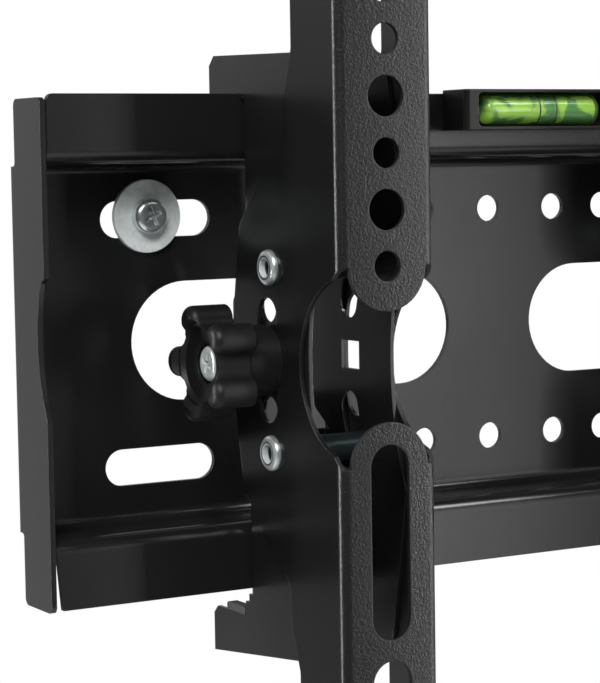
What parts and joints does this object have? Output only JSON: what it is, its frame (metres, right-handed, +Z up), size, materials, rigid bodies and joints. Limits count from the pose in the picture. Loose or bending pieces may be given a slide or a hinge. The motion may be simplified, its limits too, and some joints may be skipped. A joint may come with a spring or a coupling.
{
  "type": "tv wall mount",
  "caption": "Tilting wall mount for a flat screen: slotted wall plate with a level, and hooked slotted arms with clamp knobs.",
  "frame": {"origin": "centre of the wall plate's back face, in the plane of the wall", "axes": "+X along the plate to the right of someone facing the wall, +Y into the wall, +Z up"},
  "size_m": [0.32, 0.077, 0.33],
  "materials": {
    "black_steel": "smooth satin black powder coat",
    "textured_steel": "fine textured black powder coat",
    "zinc": "bright zinc plate",
    "black_plastic": "semi-matt moulded black",
    "black_rubber": "matt black",
    "clear_plastic": "clear moulded acrylic",
    "liquid": "green-yellow level liquid"
  },
  "bodies": {
    "plate": {"wall_plate": "black_steel", "level_housing": "black_plastic", "level_vial": "clear_plastic", "level_liquid": "liquid", "wall_screw_left": "zinc", "wall_screw_right": "zinc", "wall_washer_left": "zinc", "wall_washer_right": "zinc"},
    "left_bracket": {"left_hook_bracket": "black_steel", "left_clamp_nut": "zinc", "left_outer_bumper": "black_rubber", "left_inner_bumper": "black_rubber", "left_knob_washer": "black_plastic"},
    "left_arm": {"left_arm": "textured_steel", "left_upper_rivet": "zinc", "left_lower_rivet": "zinc"},
    "left_knob": {"left_knob": "black_plastic", "left_knob_screw": "zinc"},
    "right_bracket": {"right_hook_bracket": "black_steel", "right_clamp_nut": "zinc", "right_outer_bumper": "black_rubber", "right_inner_bumper": "black_rubber", "right_knob_washer": "black_plastic"},
    "right_arm": {"right_arm": "textured_steel", "right_upper_rivet": "zinc", "right_lower_rivet": "zinc"},
    "right_knob": {"right_knob": "black_plastic", "right_knob_screw": "zinc"}
  },
  "joints": [
    {"name": "left_bracket_slide", "type": "slide", "parent": "plate", "child": "left_bracket", "axis": [1, 0, 0], "range_m": [-0.056, 0.038]},
    {"name": "left_arm_tilt", "type": "hinge", "parent": "left_bracket", "child": "left_arm", "pos_m": [-0.085, -0.1, -0.0037], "axis": [1, 0, 0], "range_deg": [-10, 10]},
    {"name": "left_knob_turn", "type": "hinge", "parent": "left_bracket", "child": "left_knob", "pos_m": [-0.11, -0.0367, -0.0037], "axis": [1, 0, 0], "continuous": true},
    {"name": "right_bracket_slide", "type": "slide", "parent": "plate", "child": "right_bracket", "axis": [1, 0, 0], "range_m": [-0.038, 0.056]},
    {"name": "right_arm_tilt", "type": "hinge", "parent": "right_bracket", "child": "right_arm", "pos_m": [0.085, -0.1, -0.0037], "axis": [1, 0, 0], "range_deg": [-10, 10]},
    {"name": "right_knob_turn", "type": "hinge", "parent": "right_bracket", "child": "right_knob", "pos_m": [0.11, -0.0367, -0.0037], "axis": [1, 0, 0], "continuous": true}
  ]
}
